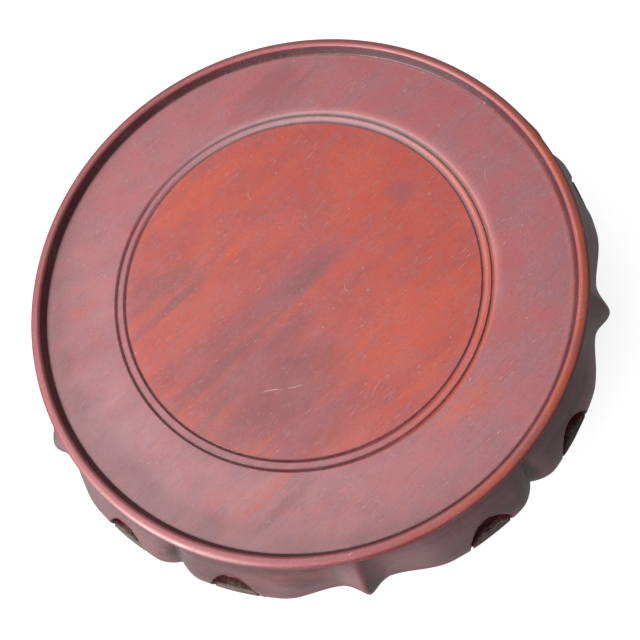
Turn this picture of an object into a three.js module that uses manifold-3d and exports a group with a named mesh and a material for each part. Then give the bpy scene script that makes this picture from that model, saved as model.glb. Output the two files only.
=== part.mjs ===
// Round vase stand of carved hardwood with five legs.
// Millimetres, Z up. The origin is on the floor, under the middle of the tray.
import * as THREE from 'three';
import { mergeVertices } from 'three/addons/utils/BufferGeometryUtils.js';
import Module from 'manifold-3d';

const wasm = await Module();
wasm.setup();

// Stand as a whole
const legCount = 5;
const standHeight = 92;
const jointGap = 0.3; // clearance round every tenon, tongue and pin
const firstLegAngle = -Math.PI / 2;
const cutMargin = 2; // how far a cutting or joining shape runs past what it meets

// Tray board, turned from one plank
const rimRadius = 124;
const rimWidth = 6; // from the outside of the rim to the inner wall of the tray
const rimCrest = 2.9; // from the outside of the rim to its highest line
const rimHeight = 3.6; // outer face of the rim bead
const rimSquare = 1.3; // upright stretch below the round of the bead
const rimInnerRound = 3; // height of the round on the inner side of the bead
const trayDepth = 5.4;
const boardThickness = 8;
const boardInset = 3.8; // edge of the board below the rim, behind the outside of the rim
const grooveRadius = 82.2; // middle of the bead between the two turned grooves
const grooveSpacing = 4;
const grooveWidth = 1.6;
const grooveDepth = 0.95;

// Plan outline of the legs and aprons at their fullest height
const rimTuck = 0.8; // top edge of legs and aprons, behind the outside of the rim
const coveOverhang = 5.2; // hollow where leg and apron meet, beyond the rim
const ridgeRelief = 5.4; // ridge down the middle of each leg, beyond the cove
const lobeRelief = 4.5; // lobes of the apron, beyond the cove
const creaseDepth = 5.3; // sharp crease in the middle of each apron, behind the lobes
const lobeStart = THREE.MathUtils.degToRad(16.5);
const creaseWidth = THREE.MathUtils.degToRad(5);
const ridgePower = 1.8; // how hollow the flanks of the ridge are
const ridgeRounding = 0.12; // share of the flank that the rounded tip takes
const shoulderRelief = 0.3; // share of that relief which is left at the top edge
const swellPower = 1.3; // hollow under the rim, then swelling
const bulgeDrop = 26; // from the top edge down to the fullest height
const lowerDraw = 4; // how far the apron draws in again lower down
const lowerDrawHeight = 16;

// Aprons
const apronWall = 9.7; // from the cove back to the inner face
const ledgeReach = 4.5; // ledge that carries the board, inward from that face
const ledgeHeight = 6;
const hemDrop = 38; // from the top edge down to the lower edge between the lobes
const hemRise = 3; // pointed rise at the crease
const spandrelDrop = 5; // the hem sweeps down beside each leg
const eyeAngle = THREE.MathUtils.degToRad(24.3);
const eyeDrop = 23; // from the top edge down to the flat of the eye
const eyeRadius = 10.9;
const eyeLength = 8; // straight sides below the flat
const eyeGroove = 1.9; // between the eye and the tongue that hangs in it
const eyeDepth = 5.7; // back of the cut, behind the lobe
const lobeBorder = 3.6; // wood left below the eye

// Legs
const legHalfWidth = 11.3;
const legDepth = 14.2; // from the cove back to the inner face
const legLeastDepth = 11;
const legSoften = 1.4; // inner corners taken off
const ankleInset = 24.1; // outer face at the narrowest place, behind the ridge
const ankleHeight = 24;
const ankleHalfWidth = 6.6;
const ankleDepth = 9;
const footFlare = 5.1; // lower end of the leg, beyond the ankle
const flareEase = 1.6; // the foot widens mostly near its lower end
const footHalfWidth = 9;
const footDepth = 13;
const bracketHalfWidth = 6;
const bracketReach = 12; // inward from the leg
const bracketHeight = 20;
const tenonInset = 2; // shoulder at both ends of the tenon
const tenonHalfWidth = 4;
const tenonHeight = 4.2;
const footTenonInset = 4.1; // shoulder outside the foot tenon
const footTenonLength = 7;
const footTenonHalfWidth = 3.5;

// Tongues that join aprons to legs, and their bamboo pins
const tongueThickness = 4;
const tongueInset = 5.7; // middle of the tongue, behind the cove
const tongueDrop = 20; // from the top edge down to the top of the tongue
const tongueHeight = 15;
const tongueEnd = 0.5; // wood past the pin hole
const pinRadius = 1.5;
const pinInset = 2.7; // from the side of the leg to the middle of the pin
const pinCover = 2.8; // from the cove back to the end of the pin

// Base ring and feet
const ringOverhang = 1.4; // beyond the lower end of the leg
const ringWidth = 16;
const ringThickness = 8;
const lapAngle = THREE.MathUtils.degToRad(5);
const padHeight = 4;
const padInset = 2.5; // behind the outside of the ring
const padLength = 12;
const padHalfWidth = 8;
const padSoften = 2.5; // outer corners rounded
const padSocket = 2;

// Battens that keep the board flat, laid across its grain
const grainAngle = THREE.MathUtils.degToRad(30);
const battenOffset = 38;
const battenWidth = 16;
const battenDepth = 8;
const battenSoften = 2; // lower edges taken off
const battenClearance = 6.4; // from the corners of a batten to the brackets
const keyWidth = 12; // neck of the dovetail
const keyFlare = 1;
const keyHeight = 3;

// Heights that follow from the sizes above
const floorZ = standHeight - trayDepth;
const undersideZ = floorZ - boardThickness;
const topZ = standHeight - rimHeight;
const bulgeZ = topZ - bulgeDrop;
const eyeZ = topZ - eyeDrop;
const hemZ = topZ - hemDrop;
const spandrelZ = hemZ - spandrelDrop;
const tongueTop = topZ - tongueDrop;
const tongueBottom = tongueTop - tongueHeight;
const ringTop = padHeight + ringThickness;
const ringMiddle = padHeight + ringThickness / 2;

// Radii, lengths and angles that follow from them
const wallRadius = rimRadius - rimWidth;
const boardRadius = rimRadius - boardInset;
const shoulderRadius = rimRadius - rimTuck;
const coveRadius = rimRadius + coveOverhang;
const ridgeRadius = coveRadius + ridgeRelief;
const lobeRadius = coveRadius + lobeRelief;
const apronInner = coveRadius - apronWall;
const ledgeInner = apronInner - ledgeReach;
const eyeFloor = lobeRadius - eyeDepth;
const lobeReach = eyeRadius + eyeLength + lobeBorder;
const legInner = coveRadius - legDepth;
const bracketInner = legInner - bracketReach;
const tenonStart = bracketInner + tenonInset;
const tenonEnd = legInner - tenonInset;
const ankleRadius = ridgeRadius - ankleInset;
const footRadius = ankleRadius + footFlare;
const footTenonEnd = footRadius - footTenonInset;
const footTenonStart = footTenonEnd - footTenonLength;
const tongueRadius = coveRadius - tongueInset;
const tongueLength = pinInset + pinRadius + jointGap + tongueEnd;
const pinEnd = coveRadius - pinCover;
const ringOuter = footRadius + ringOverhang;
const ringInner = ringOuter - ringWidth;
const padOuter = ringOuter - padInset;
const padInner = padOuter - padLength;
const battenCorner = battenOffset + battenWidth / 2;
const battenHalfLength = Math.sqrt((bracketInner - battenClearance) ** 2 - battenCorner ** 2);
const bayAngle = 2 * Math.PI / legCount;
const halfBay = bayAngle / 2;
const coveAngle = Math.asin(legHalfWidth / coveRadius);

// Fineness of the curved surfaces
const roundSteps = 80;
const flankSteps = 4; // from the cove to the ridge of a leg
const shoulderSteps = 4; // from the top edge to the fullest height
const shoulderSpacing = 1.3; // closer together near the top edge
const skirtSteps = 3; // from there to the lower edge
const shinSteps = 4;
const footSteps = 3;

// Finishes
const colours = {
  tray: { color: 0xb4705f, roughness: 0.42, metalness: 0 },
  carved: { color: 0x7d5a5c, roughness: 0.38, metalness: 0 },
  hidden: { color: 0x6a4436, roughness: 0.75, metalness: 0 },
  bamboo: { color: 0xb99a62, roughness: 0.6, metalness: 0 },
};

// A closed surface becomes a solid that can be joined and cut
function toSolid(geometry) {
  const bare = geometry.index ? geometry.toNonIndexed() : geometry.clone();
  bare.deleteAttribute('normal');
  bare.deleteAttribute('uv');
  const merged = mergeVertices(bare, 1e-4);
  const corners = merged.attributes.position.array;
  const triangles = Uint32Array.from(merged.index.array);
  if (signedVolume(corners, triangles) < 0) {
    for (let i = 0; i < triangles.length; i += 3) {
      const kept = triangles[i];
      triangles[i] = triangles[i + 1];
      triangles[i + 1] = kept;
    }
  }
  const mesh = { numProp: 3, vertProperties: Float32Array.from(corners), triVerts: triangles };
  return new wasm.Manifold(new wasm.Mesh(mesh));
}

// Six times the enclosed volume, negative where the faces point in
function signedVolume(corners, triangles) {
  const a = new THREE.Vector3();
  const b = new THREE.Vector3();
  const c = new THREE.Vector3();
  let sum = 0;
  for (let i = 0; i < triangles.length; i += 3) {
    a.fromArray(corners, triangles[i] * 3);
    b.fromArray(corners, triangles[i + 1] * 3);
    c.fromArray(corners, triangles[i + 2] * 3);
    sum += a.dot(b.cross(c));
  }
  return sum;
}

function toGeometry(solid) {
  const mesh = solid.getMesh();
  const geometry = new THREE.BufferGeometry();
  geometry.setAttribute('position', new THREE.BufferAttribute(Float32Array.from(mesh.vertProperties), 3));
  geometry.setIndex(new THREE.BufferAttribute(Uint32Array.from(mesh.triVerts), 1));
  geometry.computeVertexNormals();
  return geometry;
}

// Sections with equal point counts are skinned and closed with a cap at each end
function loft(sections, place) {
  const count = sections[0].length;
  const corners = [];
  const triangles = [];
  sections.forEach((section, i) => section.forEach((point) => corners.push(...place(point, i).toArray())));
  for (let i = 0; i + 1 < sections.length; i += 1) {
    for (let k = 0; k < count; k += 1) {
      const next = (k + 1) % count;
      const a = i * count + k;
      const b = i * count + next;
      triangles.push(a, b, a + count);
      triangles.push(b, b + count, a + count);
    }
  }
  const last = (sections.length - 1) * count;
  const turn = THREE.ShapeUtils.isClockWise(sections[0]) ? -1 : 1;
  capFaces(sections[0], 0, -turn, triangles);
  capFaces(sections[sections.length - 1], last, turn, triangles);
  const geometry = new THREE.BufferGeometry();
  geometry.setAttribute('position', new THREE.Float32BufferAttribute(corners, 3));
  geometry.setIndex(triangles);
  return toSolid(geometry);
}

function capFaces(section, start, turn, triangles) {
  for (const [a, b, c] of THREE.ShapeUtils.triangulateShape(section, [])) {
    const keeps = Math.sign(THREE.ShapeUtils.area([section[a], section[b], section[c]])) === turn;
    triangles.push(start + a, start + (keeps ? b : c), start + (keeps ? c : b));
  }
}

// A block between two corners, given along the radius, across it and upward
function block(from, to) {
  const size = to.map((value, i) => value - from[i]);
  const geometry = new THREE.BoxGeometry(...size);
  geometry.translate(...from.map((value, i) => value + size[i] / 2));
  return toSolid(geometry);
}

// A round bar that points away from the axis of the stand
function radialBar(radius, from, to, across, height, steps) {
  const geometry = new THREE.CylinderGeometry(radius, radius, to - from, steps);
  geometry.rotateZ(Math.PI / 2);
  geometry.translate((from + to) / 2, across, height);
  return toSolid(geometry);
}

function turned(solid, angle) {
  return solid.rotate([0, 0, THREE.MathUtils.radToDeg(angle)]);
}

function arcPoints(centreR, centreZ, alongR, alongZ, from, to, steps) {
  const points = [];
  for (let i = 0; i <= steps; i += 1) {
    const angle = from + (to - from) * i / steps;
    points.push(new THREE.Vector2(centreR + alongR * Math.cos(angle), centreZ + alongZ * Math.sin(angle)));
  }
  return points;
}

function turnedOnAxis(profile) {
  const geometry = new THREE.LatheGeometry(profile, roundSteps);
  geometry.rotateX(Math.PI / 2);
  return toSolid(geometry);
}

// Height of the ridge across its flank: 1 at the rounded tip, 0 in the cove
function ridgeShare(across) {
  const slack = ridgeRounding;
  const rounded = (Math.hypot(across, slack) - slack) / (Math.hypot(1, slack) - slack);
  return (1 - rounded) ** ridgePower;
}

// Plan outline: ridge, cove, lobe and crease, by the angle from the nearest leg
function outlineRadius(angle) {
  const inBay = ((angle % bayAngle) + bayAngle) % bayAngle;
  const away = Math.min(inBay, bayAngle - inBay);
  if (away < coveAngle) {
    return coveRadius + (ridgeRadius - coveRadius) * ridgeShare(away / coveAngle);
  }
  if (away < lobeStart) {
    const share = Math.sin(Math.PI / 2 * (away - coveAngle) / (lobeStart - coveAngle)) ** 2;
    return coveRadius + (lobeRadius - coveRadius) * share;
  }
  const toCrease = Math.min(1, (halfBay - away) / creaseWidth);
  return lobeRadius - creaseDepth * (1 - toCrease) ** 2;
}

// The same outline at any height: swelling from under the rim, then drawing in
function envelope(fullRadius, z) {
  if (z >= bulgeZ) {
    const share = Math.sin(Math.PI / 2 * (topZ - z) / bulgeDrop) ** swellPower;
    const topRadius = shoulderRadius + (fullRadius - lobeRadius) * shoulderRelief;
    return topRadius + (fullRadius - topRadius) * share;
  }
  return fullRadius - lowerDraw * ((bulgeZ - z) / lowerDrawHeight) ** 2;
}

// Room for the body of the board, cut out of the legs and aprons
function boardSpace() {
  const reach = boardRadius + jointGap;
  const profile = [
    new THREE.Vector2(0, undersideZ),
    new THREE.Vector2(reach, undersideZ),
    new THREE.Vector2(reach, standHeight),
    new THREE.Vector2(0, standHeight),
  ];
  return turnedOnAxis(profile);
}

function trayTop() {
  const crestRadius = rimRadius - rimCrest;
  const beadBottom = topZ + rimSquare;
  const crestHeight = standHeight - beadBottom;
  const wallTop = standHeight - rimInnerRound;
  const outer = arcPoints(crestRadius, beadBottom, rimCrest, crestHeight, 0, Math.PI / 2, 4);
  const crestReach = crestRadius - wallRadius;
  const inner = arcPoints(crestRadius, wallTop, crestReach, rimInnerRound, Math.PI / 2, Math.PI, 3);
  const grooves = [1, -1].flatMap((side) => {
    const middle = grooveRadius + side * grooveSpacing / 2;
    return [
      new THREE.Vector2(middle + grooveWidth / 2, floorZ),
      new THREE.Vector2(middle, floorZ - grooveDepth),
      new THREE.Vector2(middle - grooveWidth / 2, floorZ),
    ];
  });
  const profile = [
    new THREE.Vector2(0, undersideZ),
    new THREE.Vector2(boardRadius, undersideZ),
    new THREE.Vector2(boardRadius, topZ),
    new THREE.Vector2(shoulderRadius, topZ),
    ...outer,
    ...inner.slice(1),
    new THREE.Vector2(wallRadius, floorZ),
    ...grooves,
    new THREE.Vector2(0, floorZ),
  ];
  let board = turnedOnAxis(profile);
  for (let i = 0; i < legCount; i += 1) {
    const from = [tenonStart - jointGap, -tenonHalfWidth - jointGap, undersideZ - cutMargin];
    const to = [tenonEnd + jointGap, tenonHalfWidth + jointGap, undersideZ + tenonHeight + jointGap];
    board = board.subtract(turned(block(from, to), firstLegAngle + i * bayAngle));
  }
  for (const side of [1, -1]) {
    board = board.subtract(battenKey(side, 2 * rimRadius, jointGap));
  }
  return board;
}

// Dovetail key of a batten; the groove in the board is the same shape with clearance
function battenKey(side, length, gap) {
  const neck = keyWidth / 2 + gap;
  const top = undersideZ + keyHeight + gap;
  const shape = new THREE.Shape([
    new THREE.Vector2(-neck, undersideZ - cutMargin),
    new THREE.Vector2(neck, undersideZ - cutMargin),
    new THREE.Vector2(neck, undersideZ),
    new THREE.Vector2(neck + keyFlare, top),
    new THREE.Vector2(-neck - keyFlare, top),
    new THREE.Vector2(-neck, undersideZ),
  ]);
  return laidAcrossGrain(shape, side, length);
}

function laidAcrossGrain(shape, side, length) {
  const geometry = new THREE.ExtrudeGeometry(shape, { depth: length, bevelEnabled: false });
  geometry.translate(0, 0, -length / 2);
  geometry.rotateX(Math.PI / 2);
  geometry.translate(side * battenOffset, 0, 0);
  geometry.rotateZ(grainAngle);
  return toSolid(geometry);
}

function batten(side) {
  const half = battenWidth / 2;
  const low = undersideZ - battenDepth;
  const body = new THREE.Shape([
    new THREE.Vector2(-half + battenSoften, low),
    new THREE.Vector2(half - battenSoften, low),
    new THREE.Vector2(half, low + battenSoften),
    new THREE.Vector2(half, undersideZ),
    new THREE.Vector2(-half, undersideZ),
    new THREE.Vector2(-half, low + battenSoften),
  ]);
  const bar = laidAcrossGrain(body, side, 2 * battenHalfLength);
  return bar.add(battenKey(side, 2 * battenHalfLength, 0));
}

// Lower edge of an apron at an angle from the nearest leg
function hemHeight(away) {
  const fromEye = (away - eyeAngle) * lobeRadius;
  const hanging = Math.abs(fromEye) < lobeReach ? eyeZ - Math.sqrt(lobeReach ** 2 - fromEye ** 2) : hemZ;
  const creaseHalf = (halfBay - eyeAngle) * lobeRadius - Math.sqrt(lobeReach ** 2 - (eyeZ - hemZ) ** 2);
  const fromCrease = (halfBay - away) * lobeRadius;
  const rise = Math.max(0, 1 - fromCrease / creaseHalf) ** 2 * hemRise;
  const besideLeg = Math.max(0, 1 - (away - coveAngle) / (lobeStart - coveAngle)) ** 2 * spandrelDrop;
  return Math.min(hanging, hemZ + rise - besideLeg);
}

// One vertical cut through an apron, outside first and then back up the inside
function apronSection(angle) {
  const away = Math.min(angle, bayAngle - angle);
  const full = outlineRadius(angle);
  const hem = hemHeight(Math.max(away, coveAngle));
  const outside = [];
  for (let i = 0; i <= shoulderSteps; i += 1) {
    const z = topZ - bulgeDrop * (i / shoulderSteps) ** shoulderSpacing;
    outside.push(new THREE.Vector2(envelope(full, z), z));
  }
  for (let i = 1; i <= skirtSteps; i += 1) {
    const z = bulgeZ - (bulgeZ - hem) * i / skirtSteps;
    outside.push(new THREE.Vector2(envelope(full, z), z));
  }
  return [
    ...outside,
    new THREE.Vector2(apronInner, hem),
    new THREE.Vector2(apronInner, undersideZ - ledgeHeight - apronInner + ledgeInner),
    new THREE.Vector2(ledgeInner, undersideZ - ledgeHeight),
    new THREE.Vector2(ledgeInner, topZ),
  ];
}

function apronAngles() {
  const stops = [coveAngle / 2, lobeStart, halfBay - creaseWidth, halfBay];
  const steps = [5, 4, 4];
  const half = [stops[0]];
  for (let part = 0; part < steps.length; part += 1) {
    for (let i = 1; i <= steps[part]; i += 1) {
      half.push(stops[part] + (stops[part + 1] - stops[part]) * i / steps[part]);
    }
  }
  const mirrored = half.slice(0, -1).reverse().map((angle) => bayAngle - angle);
  return [...half, ...mirrored];
}

function aroundAxis(angles) {
  return (point, i) => new THREE.Vector3(
    point.x * Math.cos(angles[i]),
    point.x * Math.sin(angles[i]),
    point.y,
  );
}

// Upright outline with a round top and bottom, and straight sides between them
function eyeOutline(radius, length) {
  const shape = new THREE.Shape();
  shape.absarc(eyeZ, 0, radius, -Math.PI / 2, Math.PI / 2, false);
  shape.absarc(eyeZ - length, 0, radius, Math.PI / 2, 3 * Math.PI / 2, false);
  return shape;
}

function eyeBar(radius, length, from, to) {
  const geometry = new THREE.ExtrudeGeometry(eyeOutline(radius, length), {
    depth: to - from,
    bevelEnabled: false,
    curveSegments: 9,
  });
  geometry.rotateY(-Math.PI / 2);
  geometry.scale(-1, 1, 1);
  geometry.translate(from, 0, 0);
  return toSolid(geometry);
}

// Scroll eye: a cut whose lower part keeps a flat-topped tongue
function scrollEye() {
  const reach = lobeRadius + cutMargin;
  const hole = eyeBar(eyeRadius, eyeLength, eyeFloor, reach);
  const boss = eyeBar(eyeRadius - eyeGroove, eyeLength, eyeFloor - cutMargin, reach + cutMargin);
  const lower = block([0, -eyeRadius, eyeZ - eyeLength - eyeRadius], [2 * lobeRadius, eyeRadius, eyeZ]);
  return hole.subtract(boss.intersect(lower));
}

function tongue(gap) {
  const half = tongueThickness / 2 + gap;
  const from = [tongueRadius - half, legHalfWidth - tongueLength - gap, tongueBottom - gap];
  const to = [tongueRadius + half, legHalfWidth + cutMargin, tongueTop + gap];
  return block(from, to);
}

function pinBar(gap, from, to) {
  const middle = (tongueBottom + tongueTop) / 2;
  return radialBar(pinRadius + gap, from, to, legHalfWidth - pinInset, middle, 12);
}

function apron() {
  const angles = apronAngles();
  let piece = loft(angles.map(apronSection), aroundAxis(angles));
  const side = legHalfWidth + jointGap;
  const legRoom = block([0, -side, 0], [2 * lobeRadius, side, standHeight]);
  piece = piece.subtract(legRoom).subtract(turned(legRoom, bayAngle));
  piece = piece.subtract(boardSpace());
  const eye = scrollEye();
  piece = piece.subtract(turned(eye, eyeAngle)).subtract(turned(eye, bayAngle - eyeAngle));
  const nearTongue = tongue(0).subtract(pinBar(jointGap, 0, 2 * lobeRadius));
  const farTongue = turned(nearTongue.mirror([0, 1, 0]), bayAngle);
  return piece.add(nearTongue).add(farTongue);
}

// Side view of a leg: outer ridge line and depth at each height
const shinTop = new THREE.Vector2(envelope(ridgeRadius, spandrelZ), spandrelZ);
const shinSlope = 2 * lowerDraw * (bulgeZ - spandrelZ) / lowerDrawHeight ** 2;
const shin = new THREE.CubicBezierCurve(
  shinTop,
  new THREE.Vector2(shinTop.x - shinSlope * (spandrelZ - ankleHeight) / 2, (spandrelZ + ankleHeight) / 2),
  new THREE.Vector2(ankleRadius, ankleHeight + (spandrelZ - ankleHeight) / 3),
  new THREE.Vector2(ankleRadius, ankleHeight),
);
const foot = new THREE.QuadraticBezierCurve(
  new THREE.Vector2(ankleRadius, ankleHeight),
  new THREE.Vector2(ankleRadius, (ankleHeight + ringTop) / 2),
  new THREE.Vector2(footRadius, ringTop),
);

function legSection(level) {
  const points = [];
  for (let i = -flankSteps; i <= flankSteps; i += 1) {
    const share = Math.abs(i) / flankSteps;
    const fall = level.flank * (1 - ridgeShare(share));
    points.push(new THREE.Vector2(level.ridge - fall, level.half * i / flankSteps));
  }
  const inside = level.ridge - level.depth;
  points.push(new THREE.Vector2(inside + legSoften, level.half));
  points.push(new THREE.Vector2(inside, level.half - legSoften));
  points.push(new THREE.Vector2(inside, -level.half + legSoften));
  points.push(new THREE.Vector2(inside + legSoften, -level.half));
  return points;
}

function legLevels() {
  const levels = [];
  const upright = (z) => {
    const ridge = envelope(ridgeRadius, z);
    const edge = envelope(coveRadius, z) * Math.cos(coveAngle);
    const depth = Math.max(ridge - legInner, legLeastDepth);
    levels.push({ z, ridge, flank: ridge - edge, half: legHalfWidth, depth });
  };
  for (let i = 0; i <= shoulderSteps; i += 1) {
    upright(topZ - bulgeDrop * (i / shoulderSteps) ** shoulderSpacing);
  }
  for (let i = 1; i <= skirtSteps; i += 1) {
    upright(bulgeZ - (bulgeZ - spandrelZ) * i / skirtSteps);
  }
  const start = levels[levels.length - 1];
  for (let i = 1; i <= shinSteps; i += 1) {
    const share = i / shinSteps;
    const ease = THREE.MathUtils.smoothstep(share, 0, 1);
    const point = shin.getPoint(share);
    levels.push({
      z: point.y,
      ridge: point.x,
      flank: THREE.MathUtils.lerp(start.flank, start.flank / 2, ease),
      half: THREE.MathUtils.lerp(start.half, ankleHalfWidth, ease),
      depth: THREE.MathUtils.lerp(start.depth, ankleDepth, ease),
    });
  }
  for (let i = 1; i <= footSteps; i += 1) {
    const share = i / footSteps;
    const ease = share ** flareEase;
    const point = foot.getPoint(share);
    levels.push({
      z: point.y,
      ridge: point.x,
      flank: start.flank / 2,
      half: THREE.MathUtils.lerp(ankleHalfWidth, footHalfWidth, ease),
      depth: THREE.MathUtils.lerp(ankleDepth, footDepth, ease),
    });
  }
  return levels;
}

// Bracket behind the leg, which carries the board and its tenon
function legBracket() {
  const low = undersideZ - bracketHeight;
  const shape = new THREE.Shape();
  shape.moveTo(legInner + cutMargin, undersideZ);
  shape.lineTo(bracketInner, undersideZ);
  shape.lineTo(bracketInner, undersideZ - bracketHeight / 4);
  shape.quadraticCurveTo(tenonEnd, undersideZ - bracketHeight / 3, legInner, low);
  shape.lineTo(legInner + cutMargin, low);
  const geometry = new THREE.ExtrudeGeometry(shape, {
    depth: 2 * bracketHalfWidth,
    bevelEnabled: false,
    curveSegments: 6,
  });
  geometry.rotateX(Math.PI / 2);
  geometry.translate(0, bracketHalfWidth, 0);
  return toSolid(geometry);
}

function leg() {
  const levels = legLevels();
  const place = (point, i) => new THREE.Vector3(point.x, point.y, levels[i].z);
  let piece = loft(levels.map(legSection), place);
  piece = piece.subtract(boardSpace());
  piece = piece.add(legBracket());
  const topTenon = block(
    [tenonStart, -tenonHalfWidth, undersideZ - cutMargin],
    [tenonEnd, tenonHalfWidth, undersideZ + tenonHeight],
  );
  const footTenon = block(
    [footTenonStart, -footTenonHalfWidth, padHeight - padSocket],
    [footTenonEnd, footTenonHalfWidth, ringTop + cutMargin],
  );
  piece = piece.add(topTenon).add(footTenon);
  const slot = tongue(jointGap);
  const pinHole = pinBar(jointGap, legInner - cutMargin, pinEnd + jointGap);
  return piece
    .subtract(slot)
    .subtract(slot.mirror([0, 1, 0]))
    .subtract(pinHole)
    .subtract(pinHole.mirror([0, 1, 0]));
}

function footSocket(bottom, top) {
  return block(
    [footTenonStart - jointGap, -footTenonHalfWidth - jointGap, bottom],
    [footTenonEnd + jointGap, footTenonHalfWidth + jointGap, top],
  );
}

// A stretch of the base ring, or a plain wedge of the space it takes
function arcPiece(section, from, to, steps) {
  const angles = [];
  for (let i = 0; i <= steps; i += 1) {
    angles.push(from + (to - from) * i / steps);
  }
  return loft(angles.map(() => section), aroundAxis(angles));
}

function ringSegment() {
  const nose = ringThickness / 2;
  const rounded = arcPoints(ringOuter - nose, ringMiddle, nose, nose, -Math.PI / 2, Math.PI / 2, 4);
  const section = [
    ...rounded,
    new THREE.Vector2(ringInner, ringTop),
    new THREE.Vector2(ringInner, padHeight),
  ];
  const slack = jointGap / ringInner;
  const whole = arcPiece(section, -lapAngle + slack, bayAngle + lapAngle - slack, 16);
  const band = (low, high) => [
    new THREE.Vector2(ringInner - cutMargin, low),
    new THREE.Vector2(ringOuter + cutMargin, low),
    new THREE.Vector2(ringOuter + cutMargin, high),
    new THREE.Vector2(ringInner - cutMargin, high),
  ];
  const underFirstLap = arcPiece(band(0, ringMiddle), -2 * lapAngle, lapAngle, 4);
  const lastLap = bayAngle - lapAngle;
  const overLastLap = arcPiece(band(ringMiddle, 2 * ringTop), lastLap, lastLap + 3 * lapAngle, 4);
  const socket = footSocket(0, 2 * ringTop);
  return whole
    .subtract(underFirstLap)
    .subtract(overLastLap)
    .subtract(socket)
    .subtract(turned(socket, bayAngle));
}

function footPad() {
  const outline = new THREE.Shape();
  outline.moveTo(padInner, -padHalfWidth);
  outline.lineTo(padOuter - padSoften, -padHalfWidth);
  outline.quadraticCurveTo(padOuter, -padHalfWidth, padOuter, -padHalfWidth + padSoften);
  outline.lineTo(padOuter, padHalfWidth - padSoften);
  outline.quadraticCurveTo(padOuter, padHalfWidth, padOuter - padSoften, padHalfWidth);
  outline.lineTo(padInner, padHalfWidth);
  const geometry = new THREE.ExtrudeGeometry(outline, {
    depth: padHeight,
    bevelEnabled: false,
    curveSegments: 4,
  });
  return toSolid(geometry).subtract(footSocket(padHeight - padSocket - jointGap, ringTop));
}

function pin() {
  return pinBar(0, legInner, pinEnd);
}

function named(solid, name, finish) {
  const mesh = new THREE.Mesh(toGeometry(solid), new THREE.MeshStandardMaterial(finish));
  mesh.name = name;
  return mesh;
}

const stand = new THREE.Group();
stand.add(named(trayTop(), 'tray_top', colours.tray));
stand.add(named(batten(1), 'batten_1', colours.hidden));
stand.add(named(batten(-1), 'batten_2', colours.hidden));

const oneLeg = leg();
const oneApron = apron();
const oneSegment = ringSegment();
const onePad = footPad();
const onePin = pin();
for (let i = 0; i < legCount; i += 1) {
  const bay = new THREE.Group();
  const number = i + 1;
  bay.rotation.z = firstLegAngle + i * bayAngle;
  bay.add(named(oneLeg, `leg_${number}`, colours.carved));
  bay.add(named(oneApron, `apron_${number}`, colours.carved));
  bay.add(named(oneSegment, `base_ring_${number}`, colours.carved));
  bay.add(named(onePad, `foot_pad_${number}`, colours.carved));
  bay.add(named(onePin, `pin_${number}_left`, colours.bamboo));
  bay.add(named(onePin.mirror([0, 1, 0]), `pin_${number}_right`, colours.bamboo));
  stand.add(bay);
}

export default stand;
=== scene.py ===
from math import asin, cos, hypot, pi, radians, sin, sqrt

import bmesh
import bpy
import numpy as np
from mathutils import Matrix, Vector, noise


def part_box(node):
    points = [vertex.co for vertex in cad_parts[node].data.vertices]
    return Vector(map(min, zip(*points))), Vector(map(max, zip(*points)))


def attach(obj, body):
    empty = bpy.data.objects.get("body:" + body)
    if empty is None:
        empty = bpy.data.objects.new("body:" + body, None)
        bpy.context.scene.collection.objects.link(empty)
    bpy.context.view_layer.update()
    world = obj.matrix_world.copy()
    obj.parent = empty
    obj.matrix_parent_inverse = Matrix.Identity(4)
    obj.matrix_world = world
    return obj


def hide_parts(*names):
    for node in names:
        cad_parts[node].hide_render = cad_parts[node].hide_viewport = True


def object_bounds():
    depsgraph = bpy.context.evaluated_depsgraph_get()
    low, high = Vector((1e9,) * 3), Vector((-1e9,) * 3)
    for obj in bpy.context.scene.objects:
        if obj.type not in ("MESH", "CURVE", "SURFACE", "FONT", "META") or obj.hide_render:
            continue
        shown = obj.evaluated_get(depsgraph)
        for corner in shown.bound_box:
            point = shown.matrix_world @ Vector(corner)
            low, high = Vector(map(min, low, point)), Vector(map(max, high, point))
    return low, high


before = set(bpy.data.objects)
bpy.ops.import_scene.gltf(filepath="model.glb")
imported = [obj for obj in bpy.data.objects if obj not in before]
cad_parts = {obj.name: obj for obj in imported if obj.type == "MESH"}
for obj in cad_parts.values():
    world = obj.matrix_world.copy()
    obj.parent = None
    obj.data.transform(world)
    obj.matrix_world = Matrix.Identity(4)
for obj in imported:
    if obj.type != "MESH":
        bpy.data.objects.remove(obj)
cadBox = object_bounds()
scene = bpy.context.scene
scene.view_settings.view_transform = "Standard"
mm = 0.001
tiny = 1e-7
topZ = cadBox[1][2]


def withValues(thing, values):
    for name, value in values.items():
        setattr(thing, name, value)
    return thing


def newPiece(name, data):
    piece = bpy.data.objects.new(name, data)
    scene.collection.objects.link(piece)
    return piece


class Sizes(dict):  # a dictionary whose entries are read like attributes
    __getattr__ = dict.__getitem__


# the photograph's camera, worked out from the rim, wall and groove circles
camera = Sizes(
    lens=52.55, sensor=36,  # mm
    wallRadius=0.118,  # the photograph's unit of length
    turn=14.77,  # degrees from the photograph's axes to the stand's
    right=(0.88432, -0.43072, -0.18014), up=(0.46687, 0.81585, 0.34120), back=(0.0, -0.38584, 0.92257),
    place=(0.00306, -1.50192, 3.10717),
)


def addCamera(settings):
    turn = Matrix.Rotation(radians(settings.turn), 4, "Z")
    columns = [turn @ Vector(settings[name]) for name in ("right", "up", "back")]
    place = turn @ (Vector(settings.place) * settings.wallRadius) + Vector((0, 0, topZ))
    matrix = Matrix([[c[i] for c in columns] + [place[i]] for i in range(3)] + [[0, 0, 0, 1]])
    data = bpy.data.cameras.new("camera")
    data.lens = settings.lens
    data.sensor_width = settings.sensor
    data.clip_start = 0.01
    scene.camera = newPiece("camera", data)
    scene.camera.matrix_world = matrix


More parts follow.
